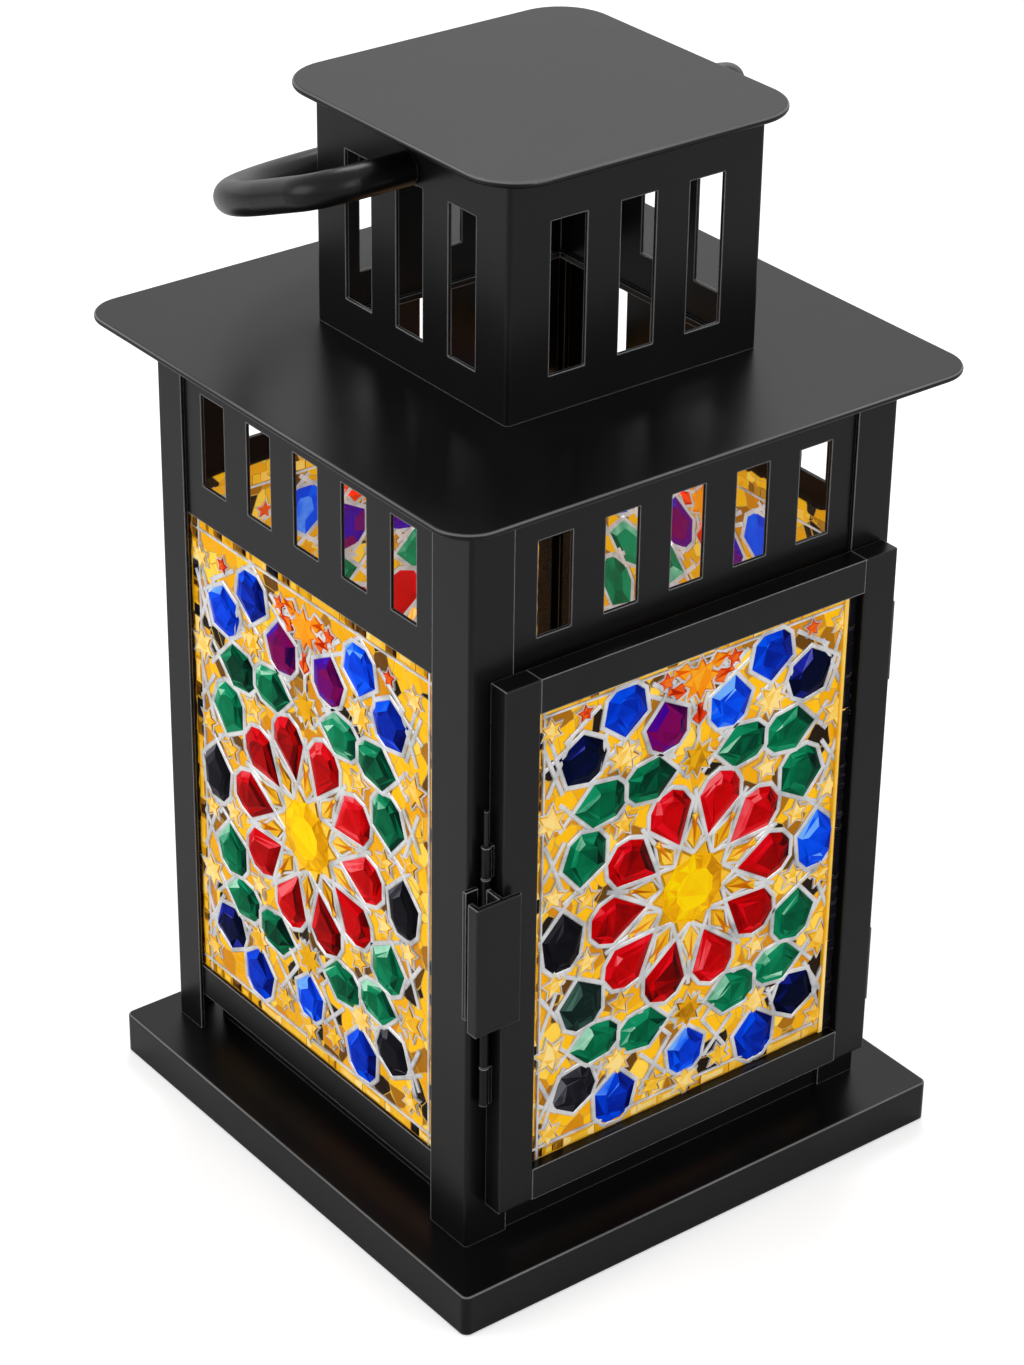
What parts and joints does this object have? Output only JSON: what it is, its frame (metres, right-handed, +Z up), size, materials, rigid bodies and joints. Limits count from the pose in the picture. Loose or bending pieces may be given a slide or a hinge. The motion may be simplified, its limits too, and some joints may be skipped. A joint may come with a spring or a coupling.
{
  "type": "ramadan fanous lantern",
  "caption": "Square candle lantern of black sheet steel with jewelled rosette mosaic panes, a hinged glazed door with a rocking latch tab, a slotted chimney and a swinging bail.",
  "frame": {"origin": "centre of the outline on the ground", "axes": "+Z up, the door faces -Y, +X to the right seen from the door's side"},
  "size_m": [0.1554, 0.1582, 0.28],
  "materials": {
    "black_steel": "satin black powder coat",
    "black_steel_pins": "black oxide pins and washers",
    "clear_glass": "clear pane with an amber tint",
    "silver_came": "bright silver came",
    "gem_glass": "cut coloured glass, red, green, blue, purple and amber"
  },
  "bodies": {
    "house": {"back_cames": "silver_came", "back_gems": "gem_glass", "back_pane": "clear_glass", "cap": "black_steel", "chimney": "black_steel", "floor_tray": "black_steel", "frieze_back": "black_steel", "frieze_front": "black_steel", "frieze_left": "black_steel", "frieze_right": "black_steel", "front_sill": "black_steel", "hinge_pins": "black_steel_pins", "hinge_post_leaves": "black_steel", "left_cames": "silver_came", "left_gems": "gem_glass", "left_pane": "clear_glass", "pane_clips": "black_steel", "plinth": "black_steel", "post_back_left": "black_steel", "post_back_right": "black_steel", "post_front_left": "black_steel", "post_front_right": "black_steel", "rail_back": "black_steel", "rail_left": "black_steel", "rail_right": "black_steel", "right_cames": "silver_came", "right_gems": "gem_glass", "right_pane": "clear_glass", "roof": "black_steel", "strike": "black_steel"},
    "door": {"door_cames": "silver_came", "door_clips": "black_steel", "door_gems": "gem_glass", "door_pane": "clear_glass", "door_rail_bottom": "black_steel", "door_rail_top": "black_steel", "door_stile_left": "black_steel", "door_stile_right": "black_steel", "hinge_door_leaves": "black_steel", "latch_knuckles": "black_steel", "latch_pin": "black_steel_pins"},
    "latch": {"latch_tab": "black_steel"},
    "bail": {"bail": "black_steel", "bail_washers": "black_steel_pins"}
  },
  "joints": [
    {"name": "door_swing", "type": "hinge", "parent": "house", "child": "door", "pos_m": [0.0659, -0.06003, 0.097], "axis": [0, 0, 1], "range_deg": [0, 165]},
    {"name": "latch_rock", "type": "hinge", "parent": "door", "child": "latch", "pos_m": [-0.0606, -0.06482, 0.099], "axis": [0, 0, 1], "range_deg": [0, 12]},
    {"name": "bail_swing", "type": "hinge", "parent": "house", "child": "bail", "pos_m": [0.0035, 0.00137, 0.2693], "axis": [1, 0, 0], "range_deg": [-15.5, 238.5]}
  ]
}
